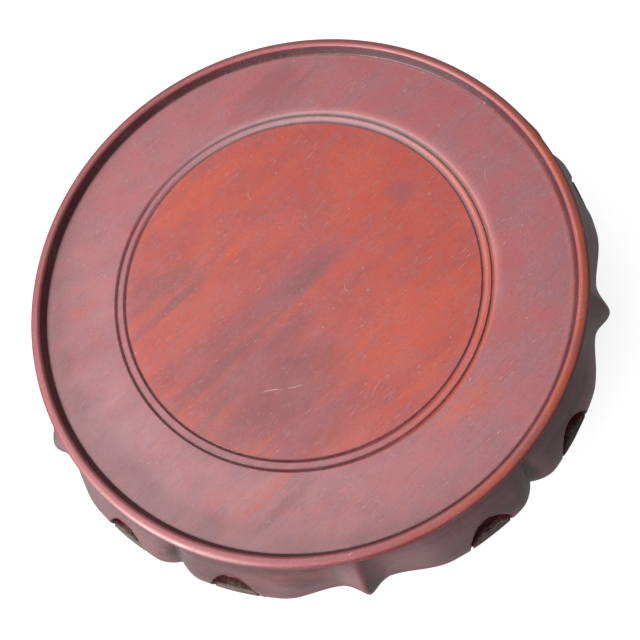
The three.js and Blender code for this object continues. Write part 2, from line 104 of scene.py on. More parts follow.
addCamera(camera)
print("camera set")

# soft studio light: a pale sky, a large lamp overhead and a window low on the left
light = Sizes(
    sky=0.30,
    skySeen=0.75,  # added where the camera looks past the floor
    skyColor=(0.94, 0.93, 0.96),
    lamps=(
        ("overhead", (-0.54, 0.27, 1.53), 1.25, 14.0),  # place, size, power
        ("window", (-1.19, -0.84, 0.29), 0.8, 42.0),
    ),
    lampColor=(0.97, 0.99, 1.0),
)


def addLight(settings):
    world = bpy.data.worlds.new("studio")
    scene.world = world
    world.use_nodes = True
    sky = world.node_tree.nodes["Background"]
    sky.inputs["Color"].default_value = settings.skyColor + (1,)
    path = newNode(world.node_tree, "ShaderNodeLightPath").outputs["Is Camera Ray"]
    glow = timesPlus(path, settings.skySeen, settings.sky)
    plug(glow, sky.inputs["Strength"])
    for name, place, size, power in settings.lamps:
        data = withValues(bpy.data.lights.new(name, "AREA"), {
            "shape": "DISK", "size": size, "energy": power, "color": settings.lampColor})
        lamp = newPiece(name, data)
        lamp.location = place
        lamp.rotation_euler = (-Vector(place)).to_track_quat("-Z", "Y").to_euler()


# nodes, for materials and for geometry trees alike
def newNode(tree, kind, **options):
    return withValues(tree.nodes.new(kind), options)


def isSocket(value):
    return isinstance(value, bpy.types.NodeSocket)


def besideOf(values, kind, **options):  # a node in the tree that the first socket among the values is in
    return newNode(next(value for value in values if isSocket(value)).id_data, kind, **options)


def plug(source, socket):
    if isSocket(source):
        socket.id_data.links.new(source, socket)
    elif isinstance(source, tuple) and socket.type == "RGBA":
        socket.default_value = source + (1,)
    else:
        socket.default_value = source


def plugAll(sources, sockets):
    for source, socket in zip(sources, sockets):
        plug(source, socket)


def mathOf(operation, *values, clamp=False):
    node = besideOf(values, "ShaderNodeMath", operation=operation, use_clamp=clamp)
    plugAll(values, node.inputs)
    return node.outputs[0]


def mathNamed(operation):
    return lambda *values, **options: mathOf(operation, *values, **options)


plus, minus, times, over = map(mathNamed, ("ADD", "SUBTRACT", "MULTIPLY", "DIVIDE"))
most, absolute, timesPlus = map(mathNamed, ("MAXIMUM", "ABSOLUTE", "MULTIPLY_ADD"))


def vectorOf(operation, *values, result="Vector"):
    node = besideOf(values, "ShaderNodeVectorMath", operation=operation)
    plugAll(values, node.inputs)
    return node.outputs[result]


def mixOf(share, first, second):
    node = besideOf([share], "ShaderNodeMix", data_type="RGBA", clamp_factor=True)
    plugAll((share, first, second), [node.inputs[i] for i in (0, 6, 7)])
    return node.outputs[2]  # 6, 7 and 2 are the colour sockets


def ramp(value, low, high, toLow=0, toHigh=1, soft=False):
    node = besideOf([value], "ShaderNodeMapRange", interpolation_type="SMOOTHSTEP" if soft else "LINEAR")
    plugAll((value, low, high, toLow, toHigh), node.inputs)
    return node.outputs["Result"]


def stretchOf(place, scale, shift=(0, 0, 0), turn=0.0, kind="POINT"):
    node = besideOf([place], "ShaderNodeMapping", vector_type=kind)
    plugAll((place, shift, (0, 0, radians(turn)), scale), node.inputs)
    return node.outputs[0]


def nodeOf(tree, kind, inputs, **options):  # gives the outputs
    node = newNode(tree, kind, **options)
    for name, value in inputs.items():
        plug(value, node.inputs[name])
    return node.outputs


def noiseOf(place, scale, detail, roughness, distortion=0.0, shift=(0, 0, 0)):
    if isinstance(scale, tuple):  # drawn out along a grain
        place, scale = stretchOf(place, scale, shift), 1.0
    return nodeOf(place.id_data, "ShaderNodeTexNoise", {
        "Vector": place, "Scale": scale, "Detail": detail, "Roughness": roughness, "Distortion": distortion,
    })["Fac"]


def bumpOf(relief, depth):
    return nodeOf(relief.id_data, "ShaderNodeBump", {
        "Strength": 0.8, "Distance": depth * mm, "Height": relief})[0]


def partsOf(vector):
    return nodeOf(vector.id_data, "ShaderNodeSeparateXYZ", {"Vector": vector})


def groupOf(group, **values):  # its first value is a socket
    return nodeOf(next(iter(values.values())).id_data, "ShaderNodeGroup", values, node_tree=group)


def newGroup(name, entries, exits, kind="ShaderNodeTree"):
    group = bpy.data.node_groups.new(name, kind)
    for label, value in entries.items():
        sort = value if isinstance(value, str) else "Int" if isinstance(value, int) else "Float"
        socket = group.interface.new_socket(label, in_out="INPUT", socket_type="NodeSocket" + sort)
        if sort != value:
            socket.default_value = value
    for label in exits:
        sort = "Geometry" if label == "Geometry" else "Float"
        group.interface.new_socket(label, in_out="OUTPUT", socket_type="NodeSocket" + sort)
    return group, newNode(group, "NodeGroupInput").outputs, newNode(group, "NodeGroupOutput").inputs


def shaderGroup(name, entries, exits=("Mask",)):  # the steps of a function, as a node group
    def build(steps):
        group, entry, leave = newGroup(name, entries, exits)
        plugAll(steps(*list(entry)[:len(entries)]), leave)
        return group
    return build


def newMaterial(name):
    material = bpy.data.materials.new(name)
    material.use_nodes = True
    tree = material.node_tree
    return material, tree, tree.nodes["Principled BSDF"].inputs


def shade(code):  # a colour from its code on a paint chart
    return tuple(((int(code[i:i + 2], 16) / 255 + 0.055) / 1.055) ** 2.4 for i in (0, 2, 4))


def painted(*known, **entries):  # Sizes whose codes have become colours
    shades = {name: shade(value) if isinstance(value, str) else value for name, value in entries.items()}
    return Sizes(*known, **shades)


# the paper that the stand is on
paper = Sizes(half=3.0, color=(0.36, 0.36, 0.36), roughness=0.9, specular=0.1, glow=0.82, glowInGloss=0.05)


def addFloor(settings):
    mesh = bpy.data.meshes.new("floor")
    half = settings.half
    mesh.from_pydata([(-half, -half, 0), (half, -half, 0), (half, half, 0), (-half, half, 0)],
                     [], [(0, 1, 2, 3)])
    paint, tree, shader = newMaterial("floorPaper")
    plugAll((settings.color, settings.roughness, settings.specular, (1.0, 1.0, 1.0)), [
        shader[name] for name in ("Base Color", "Roughness", "Specular IOR Level", "Emission Color")])
    path = newNode(tree, "ShaderNodeLightPath")
    inGloss = times(path.outputs["Is Glossy Ray"], settings.glowInGloss)
    glow = timesPlus(path.outputs["Is Camera Ray"], settings.glow, inGloss)
    plug(glow, shader["Emission Strength"])
    mesh.materials.append(paint)
    newPiece("floor", mesh)


addLight(light)
addFloor(paper)
print("light and floor set")

# plan and side view that the legs and aprons share, in millimetres and degrees
plan = Sizes(
    legs=5, firstLeg=-90.0, legHalf=11.3,
    rimTuck=0.8,  # top edge, behind the outside of the rim
    coveOverhang=5.2,  # hollow between leg and apron, beyond the rim
    ridgeRelief=5.4,  # ridge of a leg, beyond the cove
    lobeRelief=4.5,  # lobes of an apron, beyond the cove
    creaseDepth=5.3, lobeStart=16.5, creaseWidth=5.0, ridgePower=1.8, ridgeRounding=0.12,
    shoulderRelief=0.3, swellPower=1.3, bulgeDrop=26.0, lowerDraw=4.0, lowerDrawHeight=16.0,
    seam=0.04,  # between a leg and an apron
    handCarved=0.5,  # how uneven the carving is
    gougeMarks=42, fineMarks=95,  # waves per metre
    plankStep=(0.37, 0.11, 0.23),  # metres between the wood of one copy and the next
)
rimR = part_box("tray_top")[1].x / mm
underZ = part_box("tray_top")[0].z / mm
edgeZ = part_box("apron_1")[1].z / mm
standZ = topZ / mm
bay = 2 * pi / plan.legs
halfBay = bay / 2
coveR = rimR + plan.coveOverhang
lobeR = coveR + plan.lobeRelief
ridgeR = coveR + plan.ridgeRelief
shoulderR = rimR - plan.rimTuck
bulgeZ = edgeZ - plan.bulgeDrop
coveAngle = asin(plan.legHalf / coveR)


def unit(values):  # kept between 0 and 1
    return np.clip(values, 0, 1)


def ridgeShare(flank):
    slack = plan.ridgeRounding
    rounded = (np.hypot(flank, slack) - slack) / (hypot(1, slack) - slack)
    return (1 - rounded) ** plan.ridgePower


def planRadius(angle):  # angles count from a leg
    away = np.abs((angle + halfBay) % bay - halfBay)
    ridge = coveR + plan.ridgeRelief * ridgeShare(unit(away / coveAngle))
    swell = unit((away - coveAngle) / (radians(plan.lobeStart) - coveAngle))
    toCrease = unit((halfBay - away) / radians(plan.creaseWidth))
    lobe = coveR + plan.lobeRelief * np.sin(pi / 2 * swell) ** 2
    return np.where(away < coveAngle, ridge, lobe - plan.creaseDepth * (1 - toCrease) ** 2)


def surfaceRadius(full, z):
    drop = unit((edgeZ - z) / plan.bulgeDrop)
    share = np.sin(pi / 2 * drop) ** plan.swellPower
    top = shoulderR + (full - lobeR) * plan.shoulderRelief
    low = np.clip(bulgeZ - z, 0, None) / plan.lowerDrawHeight
    return top + (full - top) * share - plan.lowerDraw * low ** 2


# meshes: closed loops are skinned, capped and turned face out
def faceOut(mesh):
    work = bmesh.new()
    work.from_mesh(mesh)
    bmesh.ops.remove_doubles(work, verts=work.verts, dist=tiny)
    bmesh.ops.dissolve_degenerate(work, dist=tiny, edges=work.edges)
    bmesh.ops.recalc_face_normals(work, faces=work.faces)
    work.to_mesh(mesh)
    work.free()
    return mesh


def skin(name, loops):
    loops = np.asarray(loops, float)
    rows, count = loops.shape[:2]
    faces = []
    for i in range(rows - 1):
        for k in range(count):
            a, b = i * count + k, i * count + (k + 1) % count
            faces.append((a, b, b + count, a + count))
    faces.append(tuple(range(count)))
    faces.append(tuple(range(rows * count - 1, (rows - 1) * count - 1, -1)))
    mesh = bpy.data.meshes.new(name)
    mesh.from_pydata((loops.reshape(-1, 3) * mm).tolist(), [], faces)
    return faceOut(mesh)


def blockLoops(low, high):
    corners = [(low[1], low[2]), (high[1], low[2]), (high[1], high[2]), (low[1], high[2])]
    return [[(x, y, z) for y, z in corners] for x in (low[0], high[0])]


def joined(name, meshes):
    work = bmesh.new()
    for mesh in meshes:
        work.from_mesh(mesh)
    whole = bpy.data.meshes.new(name)
    work.to_mesh(whole)
    work.free()
    return whole


def smooth(mesh):
    for face in mesh.polygons:
        face.use_smooth = True


def finished(piece):  # the modifiers' result as a plain mesh
    graph = bpy.context.evaluated_depsgraph_get()
    mesh = bpy.data.meshes.new_from_object(piece.evaluated_get(graph))
    bpy.data.objects.remove(piece)
    return mesh


def standIn(mesh):
    return newPiece(mesh.name, mesh)


def modify(piece, kind, **options):
    withValues(piece.modifiers.new(kind.lower(), kind), options)


# carved wood: cuts first, then one even skin whose edges are a little rounded
def carved(mesh, cutters, sizes):
    piece = standIn(mesh)
    tools = [standIn(cutter) for cutter in cutters]
    for tool in tools:
        modify(piece, "BOOLEAN", operation="DIFFERENCE", solver="EXACT", object=tool)
    modify(piece, "REMESH", mode="VOXEL", voxel_size=sizes.voxel * mm)
    modify(piece, "SMOOTH", factor=0.5, iterations=sizes.softening)
    modify(piece, "DECIMATE", ratio=sizes.kept)
    result = finished(piece)
    for tool in tools:
        bpy.data.objects.remove(tool)
    smooth(result)
    return result


def trimmed(mesh, planes):  # planes: a point and the direction that is cut away
    work = bmesh.new()
    work.from_mesh(mesh)
    for point, direction in planes:
        everything = work.verts[:] + work.edges[:] + work.faces[:]
        bmesh.ops.bisect_plane(work, geom=everything, dist=tiny, plane_co=point,
                               plane_no=direction, clear_outer=True)
        rim = [edge for edge in work.edges if edge.is_boundary]
        caps = bmesh.ops.holes_fill(work, edges=rim, sides=0)["faces"]
        for face in caps:
            face.smooth = False
            for edge in face.edges:
                edge.smooth = False
    work.to_mesh(mesh)
    work.free()
    return mesh


def polar(mesh):
    spots = np.empty(len(mesh.vertices) * 3)
    mesh.vertices.foreach_get("co", spots)
    spots = spots.reshape(-1, 3) / mm
    return spots, np.arctan2(spots[:, 1], spots[:, 0]), np.hypot(spots[:, 0], spots[:, 1]), spots[:, 2]


def hill(x, width):  # 1 at zero, fading to both sides
    return np.exp(-(x / width) ** 2)


def bulgeRub(z):  # wear where the outline is fullest
    return 0.7 * hill(z - bulgeZ, 6.0)


def addMasks(mesh, rawCut=0.0, edge=0.0, shadedHollow=0.0):  # what the wood's material reads
    for name, values in (("rawCut", rawCut), ("edge", edge), ("shadedHollow", shadedHollow)):
        mask = mesh.attributes.new(name, "FLOAT", "POINT")
        values = unit(values + np.zeros(len(mesh.vertices)))
        mask.data.foreach_set("value", values.astype(np.float32))


def addGrain(mesh, *spots):  # where each point lay in its plank, in metres
    grain = mesh.attributes.new("grainSpot", "FLOAT_VECTOR", "POINT")
    grain.data.foreach_set("vector", (np.column_stack(spots) * mm).astype(np.float32).ravel())


def uneven(mesh, amount):  # shallow hollows left by the gouge, always inward
    for vertex in mesh.vertices:
        outward = Vector((vertex.co.x, vertex.co.y, 0)).normalized()
        wave = noise.noise(vertex.co * plan.gougeMarks) + 0.5 * noise.noise(vertex.co * plan.fineMarks)
        vertex.co -= outward * (amount * mm * min(1, max(0, 0.5 + 0.6 * wave)))


def placeCopy(mesh, name, node, number, wood, gouged=True):
    mesh.transform(Matrix.Rotation(radians(plan.firstLeg) + number * bay, 4, "Z"))
    grain = mesh.attributes["grainSpot"]
    spots = np.empty(len(mesh.vertices) * 3, np.float32)
    grain.data.foreach_get("vector", spots)
    spots = spots.reshape(-1, 3) + np.array(plan.plankStep, np.float32) * (number + 1)
    grain.data.foreach_set("vector", spots.ravel())
    if gouged:
        uneven(mesh, plan.handCarved)
    place(mesh, f"{name}{number + 1}", [f"{node}_{number + 1}"], "carved_wood", wood)


def place(mesh, name, nodes, slot, wood):
    mesh.name = name
    mesh.materials.clear()
    mesh.materials.append(wood)
    piece = newPiece(name, mesh)
    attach(piece, "root")
    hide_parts(*nodes)


# wood figure: broad bands, clouds, fine fibre and short pores, all drawn out along the grain
@shaderGroup("woodFigure", {"Place": "Vector", "Waviness": 0.4}, ("Bands", "Clouds", "Fibre", "Pores"))
def woodFigure(place, waviness):
    bands = noiseOf(place, (13, 120, 120), 4, 0.55, waviness)
    clouds = noiseOf(place, (16, 34, 34), 3, 0.5, waviness, (3, 1, 2))
    fibre = noiseOf(place, (70, 1500, 1500), 3, 0.6)
    dashes = noiseOf(place, (240, 2300, 2300), 1, 0.5, 0.0, (7, 0, 0))
    return (ramp(bands, 0.32, 0.68, soft=True), ramp(clouds, 0.34, 0.66, soft=True),
            ramp(fibre, 0.3, 0.7), ramp(dashes, 0.66, 0.74))


# dust: a thin veil with pale specks, thicker in the hollows
@shaderGroup("dust", {"Place": "Vector", "Veil": 0.2, "Specks": 0.5, "Hollow": 0.0})
def dust(place, veil, specks, shadedHollow):
    cells = nodeOf(place.id_data, "ShaderNodeTexVoronoi", {"Vector": place, "Scale": 310}, feature="F1")
    chance = nodeOf(place.id_data, "ShaderNodeSeparateColor", {"Color": cells["Color"]})
    size = ramp(chance[0], 0.72, 1, 0, 0.17)
    speck = ramp(minus(size, cells["Distance"]), 0.0, 0.06)
    cloud = ramp(noiseOf(place, 55, 4, 0.6), 0.35, 0.7, soft=True)
    grit = ramp(noiseOf(place, 900, 2, 0.7), 0.42, 0.75)
    thin = times(times(cloud, grit), veil)
    settled = times(shadedHollow, ramp(cloud, 0, 1, 0.35, 1))
    return [most(most(thin, settled), times(speck, specks))]


# wear: an edge mask whose border follows the grain
@shaderGroup("edgeWear", {"Place": "Vector", "Edge": 0.0, "Reach": 0.5})
def edgeWear(place, edge, reach):
    rub = noiseOf(place, (90, 260, 260), 4, 0.65)
    need = minus(1.0, times(edge, reach))
    return [times(ramp(minus(rub, need), -0.45, 0.15, soft=True), edge)]


# stain: one ragged oval, in a place where it is one unit in radius
@shaderGroup("stain", {"Oval": "Vector", "Ragged": 0.5})
def stain(oval, ragged):
    away = vectorOf("LENGTH", oval, result="Value")
    return [ramp(timesPlus(ragged, 1.5, minus(away, 0.75)), 1.15, 0.25, soft=True)]


# scratch: a thin bent line along the first axis
@shaderGroup("scratch", {"Line": "Vector", "Bend": 0.0})
def scratch(line, bend):
    along, across = list(partsOf(line))[:2]
    aside = absolute(plus(across, times(times(along, along), bend)))
    ends = ramp(absolute(along), 1.0, 0.6)
    return [times(ends, ramp(aside, 1, 0.3))]


print("wood groups made")

# colours of the tray board; stains, and one painted sheen, lie along and across its grain, in mm
trayLook = painted(
    grain=30.0,  # degrees from the stand's +X
    rubbedSide=(0.64, -0.77, 0.0),  # where the rim is rubbed most, along and across the grain
    discEdge=79.9, wallFoot=117.8, arris=119.2, crest=120.4,
    red="bc4a42", orange="d25232", mauve="a05056", umber="86484d",
    brown="864644", salmon="c0544c", plum="92444c",
    ringRose="b66165", ringRed="c05456", ringMauve="a4676d",
    ringPale="b87684", wall="441e24", rimRose="a05053", rimOrange="b85036",
    rimDeep="681c20", grooveDark="56242a", grooveRed="7c2e2c", bloom="bea2a2",
    bloomSide=(0.91, 0.42, 0.0),  # where the groove flanks get a painted highlight, pale as if lit
    under="46241e", underLight="683a2c", pale="d6b0ac",
    stains=(  # tint, strength, place and half sizes, True where the border is soft
        ("orange", 0.8, (-2, 66), (28, 9)), ("orange", 0.8, (-26, 70), (18, 3)),
        ("orange", 0.7, (-26, 45), (20, 4)), ("orange", 0.8, (-12, 32), (18, 3.5)),
        ("brown", 0.45, (-38, 38), (18, 12)), ("mauve", 0.9, (0, -1), (32, 9)),
        ("brown", 0.6, (2, -2), (13, 4)), ("umber", 0.68, (-40, -24), (42, 38), True),
        ("umber", 0.3, (-60, -4), (22, 26)), ("umber", 0.4, (-54, 42), (20, 14)),
        ("umber", 0.3, (-40, -56), (32, 16)), ("orange", 0.55, (54, 12), (28, 34)),
        ("orange", 0.75, (26, -48), (38, 20)), ("orange", 1.0, (12, -71), (26, 4)),
        ("mauve", 0.7, (61, 0), (8, 6)), ("mauve", 0.8, (-44, -52), (26, 8)),
        ("orange", 0.7, (14, -91), (30, 8)), ("salmon", 0.6, (50, -78), (16, 10)),
        ("ringMauve", 0.6, (-10, -104), (18, 6)), ("ringMauve", 0.6, (-104, -14), (10, 26)),
        # the soft pale patch on the left of the ring is a painted sheen, not a stain
        ("ringPale", 0.5, (-104, 0), (20, 70), True), ("salmon", 0.8, (-76, -62), (22, 4)),
        ("brown", 0.5, (-70, -71), (24, 3)), ("salmon", 0.7, (-82, 62), (12, 4)),
        ("plum", 0.5, (56, 84), (28, 14)),
    ),
    scratches=(  # place, half length and width, degrees, bend, depth
        ((-41, -30), (4.5, 0.35), -35, 1.5, 1.0),
        ((-33, -36), (3.4, 0.35), -28, -1.0, 0.9),
        ((11, 49), (3.2, 0.30), 60, 5.0, 0.6),
        ((12, -18), (2.6, 0.30), 75, 5.0, 0.6),
        ((-8, -60), (5.0, 0.30), 20, 2.0, 0.5),
        ((46, 67), (2.2, 0.30), -40, 2.0, 0.6),
        ((30, 20), (6.0, 0.25), 12, 1.0, 0.4),
        ((92, -22), (4.0, 0.30), 50, 3.0, 0.4),
        ((-20, 88), (3.5, 0.28), -15, 1.0, 0.4),
    ),
)


def layered(color, look, *layers):  # each layer is a mask and the name of its colour
    for mask, tint in layers:
        color = mixOf(mask, color, look[tint])
    return color


def spotOf(place, at, size, turn=0):  # a placed mark's own axes, one unit to its border
    x, y, long, wide = (value * mm for value in at + size)
    return stretchOf(place, (long, wide, 1), (x, y, 0), turn, "TEXTURE")


def makeTrayWood(look):
    wood, tree, shader = newMaterial("trayWood")
    spot = newNode(tree, "ShaderNodeTexCoord").outputs["Object"]
    along = stretchOf(spot, (1, 1, 1), turn=-look.grain)
    flat = vectorOf("MULTIPLY", along, (1, 1, 0))
    figure = groupOf(woodFigure, Place=along, Waviness=0.7)
    bands, fibre, pores = (figure[name] for name in ("Bands", "Fibre", "Pores"))
    radius = vectorOf("LENGTH", vectorOf("MULTIPLY", spot, (1 / mm, 1 / mm, 0)), result="Value")
    height = over(partsOf(spot)["Z"], mm)
    mottle = noiseOf(along, (190, 260, 260), 4, 0.6)
    blotch = noiseOf(along, (52, 80, 80), 3, 0.55)
    patch = noiseOf(spot, 62, 4, 0.55, 0.6)
    rings = noiseOf(nodeOf(tree, "ShaderNodeCombineXYZ", {"X": radius})[0], 0.9, 3, 0.6)
    grit = noiseOf(along, (900, 1900, 1900), 2, 0.6)

    disc = layered(
        look.red, look, (ramp(bands, 0, 1, 0, 0.55), "orange"),
        (ramp(blotch, 0.45, 0.75, 0, 0.5), "mauve"))
    ring = layered(
        look.ringRose, look, (ramp(blotch, 0.35, 0.65), "ringMauve"),
        (ramp(patch, 0.50, 0.72, 0, 0.6, soft=True), "ringRed"), (ramp(bands, 0.5, 1, 0, 0.25), "ringRed"),
        (times(ramp(radius, 106, 116), ramp(rings, 0.45, 0.65, 0, 0.5)), "ringMauve"))
    color = mixOf(ramp(radius, look.discEdge - 0.4, look.discEdge + 0.4), disc, ring)
    ragged = plus(times(bands, 0.5), times(mottle, 0.5))
    calm = timesPlus(ragged, 0.4, 0.3)
    for tint, strength, at, size, *soft in look.stains:
        mask = groupOf(stain, Oval=spotOf(flat, at, size), Ragged=calm if soft else ragged)["Mask"]
        color = mixOf(times(mask, strength), color, look[tint])
    color = layered(
        color, look, (ramp(mottle, 0.5, 0.8, 0, 0.55), "ringMauve"),
        (ramp(mottle, 0.5, 0.2, 0, 0.45), "salmon"), (ramp(fibre, 0.4, 0, 0, 0.35), "brown"),
        (ramp(grit, 0.5, 0.25, 0, 0.4), "brown"))

    toward, toPaintedLight = (vectorOf("DOT_PRODUCT", vectorOf("NORMALIZE", flat), side, result="Value")
                       for side in (look.rubbedSide, look.bloomSide))
    rubbed = times(ramp(toward, 0.3, 0.95, soft=True), ramp(blotch, 0.3, 0.5))
    rubbed = times(rubbed, ramp(radius, look.arris, look.crest))
    # painted shade: the rim's inner wall is painted dark maroon for the shade inside the rim
    wallShadeShare = ramp(height, standZ - 0.8, standZ - 1.6, soft=True)
    inside = ramp(radius, look.arris + 0.7, look.arris + 0.2)
    # painted shade: the bead's outer roll, where it turns down, is painted a deeper dark red
    rim = layered(
        look.rimRose, look, (rubbed, "rimOrange"),
        (ramp(radius, look.crest + 1.8, look.crest + 3, soft=True), "rimDeep"),
        (times(wallShadeShare, inside), "wall"))
    color = mixOf(ramp(radius, look.wallFoot - 0.4, look.wallFoot + 0.2), color, rim)

    # painted highlight: the groove flanks on one side are painted pale, as if the lamp lit them
    flank = absolute(minus(radius, board.grooveR + 1.2))
    bloom = times(ramp(flank, 3.6, 2.4, soft=True), ramp(toPaintedLight, 0, 0.9, 0, 0.45))
    bloom = times(bloom, ramp(grit, 0.25, 0.55, 0.5, 1))
    # painted shade: dark lines along both grooves and at the foot of the rim's wall, less dark and redder on
    # the rubbed side
    shadeLines = []
    half = board.grooveSpacing / 2
    for middle, reach, clear, strength in (
            (board.grooveR - half, 1.2, 0.0, 0.9), (board.grooveR + half, 1.4, 0.0, 0.9),
            (look.wallFoot, 1.0, 0.1, 0.85)):
        away = absolute(minus(radius, middle))
        shadeLines.append(ramp(away, reach, clear, 0, strength, soft=True))
    shadedHollow = most(most(shadeLines[0], shadeLines[1]), shadeLines[2])
    inset = times(shadedHollow, ramp(mottle, 0.3, 0.7, 1, 0.65))
    inOrange = ramp(toward, 0.3, 0.95, soft=True)
    bead = times(inOrange, ramp(flank, 3.4, 2.2, 0, 0.6))
    color = layered(color, look, (bloom, "bloom"), (bead, "orange"))
    color = mixOf(inset, color, mixOf(inOrange, look.grooveDark, look.grooveRed))

    top = ramp(height, underZ + 6, underZ + 7)
    veil = groupOf(dust, Place=spot, Veil=times(top, 0.3), Specks=top, Hollow=0.0)["Mask"]
    dashes = times(pores, ramp(blotch, 0.42, 0.62, 0, 0.45))
    cuts = None
    for at, size, turn, bend, depth in look.scratches:
        mask = times(groupOf(scratch, Line=spotOf(flat, at, size, turn), Bend=bend)["Mask"], depth)
        cuts = mask if cuts is None else most(cuts, mask)
    cuts = times(cuts, ramp(grit, 0.35, 0.55, 0.4, 1))
    color = layered(color, look, (times(veil, 0.5), "pale"), (dashes, "pale"), (times(cuts, 0.75), "pale"))
    plain = mixOf(bands, look.under, look.underLight)
    plug(mixOf(top, plain, color), shader["Base Color"])

    rough = ramp(blotch, 0.3, 0.7, 0.40, 0.52)
    rough = plus(rough, ramp(radius, look.wallFoot, look.crest, 0, 0.06))
    rough = plus(rough, times(veil, 0.25))
    plug(rough, shader["Roughness"])
    plug(ramp(radius, 74, 90, 0.6, 0.9), shader["Specular IOR Level"])
    wave = noiseOf(along, 24, 2, 0.5)
    relief = timesPlus(wave, 5.0, times(fibre, 0.3))
    relief = timesPlus(grit, 0.7, relief)
    relief = timesPlus(mottle, 0.8, relief)
    relief = minus(relief, times(cuts, 1.2))
    plug(bumpOf(relief, 0.05), shader["Normal"])
    return wood


def woodOf(name, look):  # carved, planed or split wood by its own colours
    wood, tree, shader = newMaterial(name)
    grain = newNode(tree, "ShaderNodeAttribute", attribute_name="grainSpot").outputs["Vector"]
    rawCut, edge, shadedHollow = (newNode(tree, "ShaderNodeAttribute", attribute_name=label).outputs["Fac"]
                            for label in ("rawCut", "edge", "shadedHollow"))
    figure = groupOf(woodFigure, Place=grain, Waviness=0.5)
    bands, clouds, fibre = (figure[name] for name in ("Bands", "Clouds", "Fibre"))
    mottle = noiseOf(grain, (110, 170, 170), 4, 0.6)
    wear = groupOf(edgeWear, Place=grain, Edge=edge, Reach=look.wearReach)["Mask"]
    bare = minus(1.0, most(edge, shadedHollow))
    film = times(bare, ramp(clouds, 0, 1, look.film * 0.6, look.film))
    veil = groupOf(dust, Place=grain, Veil=look.veil, Specks=look.specks, Hollow=times(shadedHollow, 0.1))["Mask"]
    # the hollow mask paints shade: in the pore colour on the finished wood, and in a dark maroon on raw cuts
    color = layered(
        look.dark, look, (bands, "light"), (times(clouds, 0.7), "cloud"),
        (ramp(mottle, 0.56, 0.74, 0, 0.6), "blush"), (ramp(fibre, 0.4, 0, 0, 0.4), "pore"), (film, "dust"),
        (times(wear, 0.85), "worn"), (times(shadedHollow, 0.75), "pore"), (times(veil, 0.5), "dust"))
    chips = noiseOf(grain, (260, 900, 900), 4, 0.7)
    rays = noiseOf(grain, (1500, 1500, 160), 3, 0.6)
    chips = timesPlus(chips, 0.6, times(rays, 0.4))
    raw = layered(
        look.rawDark, look, (ramp(chips, 0.42, 0.58), "rawLight"), (times(edge, 0.6), "rawPale"),
        (times(shadedHollow, 0.9), "rawDeep"))
    plug(mixOf(rawCut, color, raw), shader["Base Color"])
    rough = ramp(clouds, 0, 1, look.rough - 0.05, look.rough + 0.07)
    rough = plus(rough, times(veil, 0.2))
    rough = most(rough, times(rawCut, 0.8))
    plug(rough, shader["Roughness"])
    gloss = timesPlus(rawCut, 0.1 - look.gloss, look.gloss)
    plug(gloss, shader["Specular IOR Level"])
    wave = noiseOf(grain, 130, 3, 0.55)
    relief = timesPlus(wave, look.gouge, times(fibre, 0.4))
    relief = timesPlus(times(chips, rawCut), 4.0, relief)
    plug(bumpOf(relief, 0.06), shader["Normal"])
    return wood


carvedLook = painted(
    dark="3a181c", light="683436", cloud="5a363a", blush="7a363c", pore="281216", worn="681a20",
    dust="c4acae", rawDeep="54242c", rawDark="362625", rawLight="765c54", rawPale="5c5453",
    wearReach=0.75, veil=0.2, specks=0.35, film=0.13, rough=0.31, gloss=0.58, gouge=4.0,
)
hiddenLook = painted(carvedLook, dark="4a2820", light="704432", cloud="54362e",
                     blush="683e30", worn="885c44", film=0.1, rough=0.7, gloss=0.3, gouge=1.5, veil=0.8)
bambooLook = painted(carvedLook, dark="967042", light="bc9660", cloud="a47c4c",
                     blush="b08854", pore="684828", worn="c8a874",
                     film=0.0, rough=0.55, gloss=0.4, gouge=1.0)


# the tray board: a turned profile, with the double groove cut by the tree
board = Sizes(
    rimWidth=6.0,  # from the outside to the inner wall
    rimCrest=3.6,  # from the outside to the highest line
    rimSquare=0.6,  # upright stretch below the round
    rimArris=4.8,  # from the outside to the upper edge of the wall
    arrisDrop=1.3,  # that edge, below the crest
    trayDepth=5.4,
    inset=3.8,  # edge of the board below the rim
    play=0.3,  # round that edge, to the aprons and legs
    fillet=0.5, wallFillet=0.5, grooveR=82.2, grooveSpacing=4.0,
    grooveInner=0.5,  # width of the steep flank, towards the axis
    grooveOuter=1.7,  # middle width of the sloping flank
    grooveDrift=0.9,  # how much that grows on one side and shrinks on the other
    driftAngle=42.0, grooveDepth=0.8,
    steps=320,  # round the axis
)
floorZ = standZ - board.trayDepth
boardR = rimR - board.inset


def arc(centre, reach, start, end, steps):
    angles = np.radians(np.linspace(start, end, steps + 1))
    return [(centre[0] + reach[0] * cos(a), centre[1] + reach[1] * sin(a)) for a in angles]


